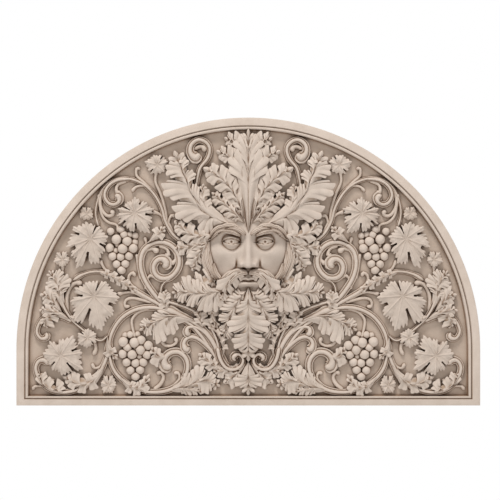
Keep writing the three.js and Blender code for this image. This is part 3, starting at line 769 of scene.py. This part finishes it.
def face_rise(across, up):
    """The face's rise off the ground, in metres, at a place on the carver's grid."""
    out = abs(across)
    middle = chin + third * 1.45
    round_off = 1 - (across / (face_half + 1)) ** 2 - ((up - middle) / (third * 1.75)) ** 2
    rise = face_dome * max(0.02, round_off) ** 0.42

    # The forehead, the arches of the brows, and the sockets and cheekbones below them.
    arch = brow - 1 + 3 * bell(out - 20, 13)
    rise += 0.0075 * bell(out - 17, 14) * bell(up - arch, 4.2)
    rise += 0.003 * bell(out - 14, 12) * bell(up - brow - 17, 9)
    rise -= 0.003 * bell(out, 4) * bell(up - brow - 3, 7)
    rise -= 0.0155 * bell(out - eye_across + 1.5, 11) * bell(up - eye_up - 1.5, 6.8)
    rise += 0.007 * bell(out - face_half * 0.64, 9.5) * bell(up - nose_base - third * 0.42, 8)
    rise -= 0.0055 * bell(out - face_half * 0.62, 8) * bell(up - nose_base + 3, 10)

    # The nose: a straight bridge, a rounded tip, wings and nostrils.
    drop = (brow - 1 - up) / (brow - 1 - nose_base)
    if drop > -0.25:
        bridge = 0.006 * ease((drop + 0.25) / 0.35) + 0.0218 * ease(drop / 1.05) ** 1.1
        under = 1 - ease((drop - 0.94) / 0.08)
        ridge_half = 3.3 + 1.9 * bell(drop - 0.86, 0.13) + 0.4 * drop
        ridge = math.exp(-(out / ridge_half) ** 3)
        flank = 0.38 * math.exp(-(out / (ridge_half * 2)) ** 2)
        rise += bridge * under * (0.70 * ridge + flank)
    rise += 0.003 * bell(out, 4) * bell(up - nose_base - 5.5, 4)
    rise += 0.0150 * bell(out - 7.4, 2.7) * bell(up - nose_base - 4.2, 3.5)
    rise -= 0.0085 * bell(out - 11.4, 1.3) * bell(up - nose_base - 4.5, 4.5)
    rise -= 0.012 * bell(out - 4.3, 1.8) * bell(up - nose_base - 0.4, 1.4)

    # The folds beside the mouth, the groove above the lip, the lips and the chin.
    rise -= 0.003 * bell(out - 12 - (nose_base + 2 - up) * 0.55, 1.7) * bell(up - nose_base + 4, 8)
    rise += 0.006 * bell(out, 15) * bell(up - mouth - 1, 10)
    rise -= 0.002 * bell(out, 1.3) * bell(up - nose_base + 5, 3)
    lips = max(0, 1 - (out / 14) ** 2)
    bow = 0.7 * bell(out - 3.4, 2.4) - 0.7 * bell(out, 1.6)
    rise += 0.0058 * lips ** 0.6 * bell(up - mouth - 2.1 - bow, 1.7)
    rise += 0.0092 * lips ** 0.7 * bell(up - mouth + 2.9, 2.2)
    rise -= 0.0055 * bell(out, 12) * bell(up - mouth - 0.1 + 0.5 * bell(out, 3), 0.8)
    rise -= 0.008 * bell(out, 11) * bell(up - mouth + 8, 2.8)
    rise += 0.009 * bell(out, 9) * bell(up - chin - 8, 6)

    # The eye: a ball in its socket, under lids that open in an almond and stand proud at their rims.
    along = out - eye_across
    over = up - eye_up
    apart = math.hypot(along, over)
    if apart < eyeball + 4:
        spread = max(0, 1 - (along / eye_half) ** 2)
        top = 3.7 * spread ** 0.75 + 0.05 * along
        bottom = -2.7 * spread ** 0.8 + 0.05 * along
        deep = ball_front - eyeball * square
        ball = deep + math.sqrt(max(0, eyeball ** 2 - apart ** 2)) * square
        lid = deep + math.sqrt(max(0, (eyeball + 1.1) ** 2 - apart ** 2)) * square
        lid += 0.0012 * bell(over - top - 0.6, 0.7) + 0.0010 * bell(over - bottom + 0.6, 0.7)
        lid -= 0.0032 * bell(over - top - 2.9, 0.8) * ease(spread * 2)
        lid -= 0.0015 * bell(over - bottom + 3.2, 0.9) * ease(spread * 2)
        ball -= 0.0010 * bell(apart - 3.3, 0.5) + 0.0060 * bell(apart, 1.25)
        lid = max(lid, rise - 0.004)
        rise += (lid - rise) * ease((eyeball + 4 - apart) / 4.2)
        inside = ease((top - over) / 0.45 + 0.5) * ease((over - bottom) / 0.45 + 0.5)
        rise += (min(ball - 0.0008, rise) - rise) * inside
    return rise


face_top = brow + 34


def face_shape(share, side, is_foot):
    up = chin - 2 + (face_top - chin) * share
    middle = chin + third * 1.35
    half = (face_half + 0.5) * math.sqrt(max(0.01, 1 - ((up - middle) / (third * 1.75)) ** 2))
    across = side * half
    return place(across, up, -0.002 if is_foot else face_rise(across, up))


bm = bmesh.new()
blade(bm, 270, 84, face_shape)
keep_piece(bm, "mask_face", 75)

# The mask's leaves. Acanthus for hair and beard: they spring from the middle of the brow and from the jaw,
# stand as high as the face there, and fall back towards the ground at their tips.
crown = [
    # At the top, three leaves that fall outwards from the middle one, each with its lobes' tips.
    ([(1, 168), (4, 189), (12, 205), (24, 212)], 9, (0.030, 0.027, 0.015), 0.2,
     [(23, 205), (17, 200), (10, 193), (20, 218), (13, 219), (7, 216)]),
    ([(2, 148), (6, 168), (14, 188), (32, 199)], 10, (0.037, 0.031, 0.018), 0.2,
     [(28, 190), (20, 183), (13, 175), (8.5, 166), (27, 204), (20, 205), (12, 202)]),
    ([(3, 128), (12, 152), (25, 169), (45, 182)], 12, (0.043, 0.034, 0.019), 0.15,
     [(42, 169), (34, 162), (26, 155), (17, 146), (12, 137),
      (36, 187), (27, 185), (19, 181), (12, 172), (8, 160)]),
    ([(4, 126), (15, 137), (26, 148), (37, 157)], 8, (0.043, 0.035, 0.020), 0.15,
     [(37.5, 148), (32, 141), (25, 135), (17, 129.5), (31, 159), (24, 154), (17, 146)]),
    ([(33.5, 131), (42, 142), (45.5, 153), (45, 166)], 7, (0.037, 0.032, 0.020), 0.15,
     [(53.5, 159), (53, 150), (48, 141), (39, 160), (37.5, 151), (35.5, 143)]),
    # The great side leaf, and those beside the temple and cheek.
    ([(13, 123), (29, 129), (46, 139), (57, 156), (63, 172), (70, 188), (74, 199)], 17,
     (0.036, 0.033, 0.017), 0.2,
     [(51, 120.5), (77, 143), (87.5, 166), (83, 184), (63, 193), (56, 180), (52, 166)]),
    ([(31, 113), (42, 113.5), (53, 113.5), (64, 119.5), (74, 129)], 10, (0.030, 0.030, 0.017), 0.2,
     [(74, 119), (68, 110.5), (59, 104.5), (50, 102.5), (67, 131), (59, 128.5), (50, 123.5)]),
    ([(40, 107), (56, 103), (74, 101)], 8, (0.030, 0.024, 0.015), 0.12,
     [(70, 94), (62, 95), (54, 97), (71, 108), (63, 110), (55, 110)]),
    ([(41, 107), (49, 96), (56, 78)], 9, (0.030, 0.027, 0.016), 0.12,
     [(63, 85), (62, 92), (58, 100), (49, 78), (47, 85), (43, 92)]),
]
beard = [
    # Out from the cheek and the moustache, then down under the chin.
    ([(33, 82), (36, 69), (45, 63.5), (56, 70)], 9, (0.036, 0.030, 0.018), 0.15,
     [(53, 61.5), (45, 58), (37, 60), (53, 78), (46, 80)]),
    ([(23, 60), (39, 56), (58, 57), (77, 57)], 12, (0.046, 0.034, 0.018), 0.1,
     [(71, 48), (62, 43.5), (51, 39), (41, 38), (31, 43), (75, 66), (67, 73), (57, 70), (47, 66)]),
    ([(36, 42), (35, 31), (30, 20)], 6.5, (0.022, 0.022, 0.014), 0.1,
     [(40, 35), (38, 26), (30, 34)]),
    ([(46, 22), (48, 31), (51, 40)], 7, (0.018, 0.019, 0.013), 0.1,
     [(54.5, 31), (55, 38), (38, 31), (43, 39)]),
    ([(2, 59), (10, 49), (17, 36), (22, 24), (24, 12)], 11, (0.047, 0.038, 0.020), 0.08,
     [(18, 57), (25, 50), (29, 40), (30, 29), (28, 19), (3, 42), (5, 32), (10, 23), (17, 11)]),
]
bm = bmesh.new()
for path, half, rise, bare, tips in crown + beard:
    acanthus(bm, path, half, 0, rise, bare, tips=tips)
mirror_half(bm)
acanthus(bm, [(0, 112), (0, 150), (0, 185), (0, 221)], 12, 0, (0.047, 0.036, 0.022), 0.4,
         tips=[(8.5, 215), (11, 201), (-8.5, 215), (-11, 201)], sweep=3.2)


def hair_shape(share, side, is_foot):
    """The fluted hair under the crown's stalks, from the brow up to where the leaves part."""
    up = 121 + 60 * share + 7 * side ** 2
    half = 2 + 25 * math.sin(math.pi * (0.04 + 0.84 * share))
    flute = 0.0016 * math.cos(side * 22)
    tall = 0.044 - 0.018 * share - 0.012 * (1 - share) ** 4 - 0.010 * side ** 2 + flute
    return place(side * half, up, -0.002 if is_foot else tall)


blade(bm, 50, 60, hair_shape)
acanthus(bm, [(0, 62), (0, 42), (0, 20), (0, -12)], 15, 0, (0.050, 0.046, 0.020), 0.12,
         tips=[(13, 37), (20, 17), (14, 1), (-13, 37), (-20, 17), (-14, 1)])
keep_piece(bm, "mask_leaves", 50)

# The brows, moustache and whiskers. Locks combed outwards over the eyes, out from under the nose and down
# the cheeks, each tapering to a point, with a toothed leaf over the ends of the moustache.
strand_rise, strands = 0.0009, 12


def lock(bm, path, half, rise):
    at = smooth_line(path)

    def comb(share, side, is_foot):
        here, ahead, aside = at(share)
        width = half * min(1, 0.5 + share * 2) * max(0.02, 1 - share ** 2.5) ** 0.8
        spot = here + aside * width * side * (0.7 if is_foot else 1)
        tall = bend(rise, share) - 0.006 * side ** 2 + strand_rise * math.cos(side * strands)
        return place(spot.x, spot.y, 0.01 if is_foot else tall)

    blade(bm, 40, 12, comb)


locks = [
    ([(3, 115), (9, 119), (16, 121), (24, 120)], 3.0, (0.042, 0.047, 0.043)),
    ([(8, 114), (15, 117.5), (22, 118.5), (30, 115)], 2.6, (0.044, 0.047, 0.040)),
    ([(8, 120), (16, 123.5), (25, 123), (33, 117)], 3.0, (0.041, 0.045, 0.037)),
    ([(16, 116.5), (24, 119), (31, 117), (38, 110)], 2.8, (0.044, 0.043, 0.031)),
    ([(20, 121), (28, 122), (35, 117.5), (40, 109)], 2.8, (0.042, 0.040, 0.028)),
    ([(1, 77), (9, 76), (17, 70), (23, 60), (25, 51)], 3.4, (0.050, 0.053, 0.036)),
    ([(2, 78), (12, 78), (21, 71), (28, 60), (30, 47)], 3.2, (0.046, 0.048, 0.032)),
    ([(10, 79), (19, 76), (27, 68), (33, 56)], 2.8, (0.042, 0.044, 0.030)),
    ([(42, 112), (45, 99), (42, 84), (34, 66)], 4.2, (0.018, 0.028, 0.034)),
    ([(40, 108), (41.5, 96), (38.5, 82), (31, 67)], 3.6, (0.024, 0.034, 0.037)),
    ([(39, 98), (38.5, 88), (34.5, 77), (27, 65)], 3.0, (0.027, 0.037, 0.038)),
    ([(35, 86), (32.5, 77), (27, 70), (22, 62)], 2.6, (0.034, 0.041, 0.040)),
]
bm = bmesh.new()
for path, half, rise in locks:
    lock(bm, path, half, rise)
acanthus(bm, [(0.5, 77), (9, 78), (17, 72), (23, 61), (29, 46)], 10, 0, (0.050, 0.052, 0.034), 0.12,
         tips=[(8, 68), (12.5, 61), (17, 54.5), (22, 48), (32, 60)], sweep=1.1)
mirror_half(bm)
keep_piece(bm, "brows_and_moustache", 60)

# The studio: a pale floor well below the panel, white all round, and one broad soft light from above.
floor_drop, floor_half = 0.6, 1.9
bm = bmesh.new()
level = Matrix.Translation((0, 0, sill - floor_drop))
bmesh.ops.create_grid(bm, x_segments=1, y_segments=1, size=floor_half, matrix=level)
mesh = bpy.data.meshes.new("floor")
bm.to_mesh(mesh)
bm.free()
floor = bpy.data.objects.new("floor", mesh)
bpy.context.scene.collection.objects.link(floor)
floor_paint = bpy.data.materials.new("floor_paint")
floor_paint.use_nodes = True
painted = floor_paint.node_tree.nodes["Principled BSDF"]
painted.inputs["Base Color"].default_value = (0.95, 0.95, 0.95, 1)
painted.inputs["Roughness"].default_value = 0.9
mesh.materials.append(floor_paint)

world = bpy.data.worlds.new("studio")
world.use_nodes = True
bpy.context.scene.world = world
nodes = world.node_tree.nodes
wire = world.node_tree.links.new

# The sky is white about the horizon, half as bright overhead, and grey straight below.
height = nodes.new("ShaderNodeSeparateXYZ")
wire(nodes.new("ShaderNodeTexCoord").outputs["Generated"], height.inputs["Vector"])
lifted = nodes.new("ShaderNodeMath")
lifted.inputs[1].default_value = 0.5
sky = nodes.new("ShaderNodeValToRGB")
sky.color_ramp.elements[0].position = 0.0
sky.color_ramp.elements[0].color = (0.3, 0.3, 0.3, 1)
sky.color_ramp.elements[1].position = 0.04
sky.color_ramp.elements[1].color = (1, 1, 1, 1)
for position, light in ((0.66, 1), (0.76, 0.5)):
    stop = sky.color_ramp.elements.new(position)
    stop.color = (light, light, light, 1)
wire(height.outputs["Z"], lifted.inputs[0])
wire(lifted.outputs["Value"], sky.inputs["Fac"])
wire(sky.outputs["Color"], nodes["Background"].inputs["Color"])
bpy.context.scene.view_settings.view_transform = "Standard"


def soft_light(name, size, power, spot, aim):
    lamp = bpy.data.lights.new(name, "AREA")
    lamp.size = size
    lamp.energy = power
    light = bpy.data.objects.new(name, lamp)
    facing = (Vector(aim) - Vector(spot)).to_track_quat("-Z", "Y")
    light.matrix_world = Matrix.Translation(spot) @ facing.to_matrix().to_4x4()
    bpy.context.scene.collection.objects.link(light)


soft_light("key_light", 2.0, 440, (-1.1, -3.5, 7.1), (0, 0, 0.2))

# The camera stands square to the panel, far enough off that the border shows no perspective.
photo_width = 500
panel_centre = 248.3
arch_centre_row = 349.5
photo_middle = 250
lens, sensor = 135, 36
camera = bpy.data.cameras.new("camera")
camera.lens, camera.sensor_width = lens, sensor
eye = bpy.data.objects.new("camera", camera)
front = -(backing + band_rise)
distance = photo_width * square * lens / sensor
across = (photo_middle - panel_centre) * square
up = (arch_centre_row - photo_middle) * square
eye.location = (across, front - distance, up)
eye.rotation_euler = (math.pi / 2, 0, 0)
bpy.context.scene.collection.objects.link(eye)
bpy.context.scene.camera = eye
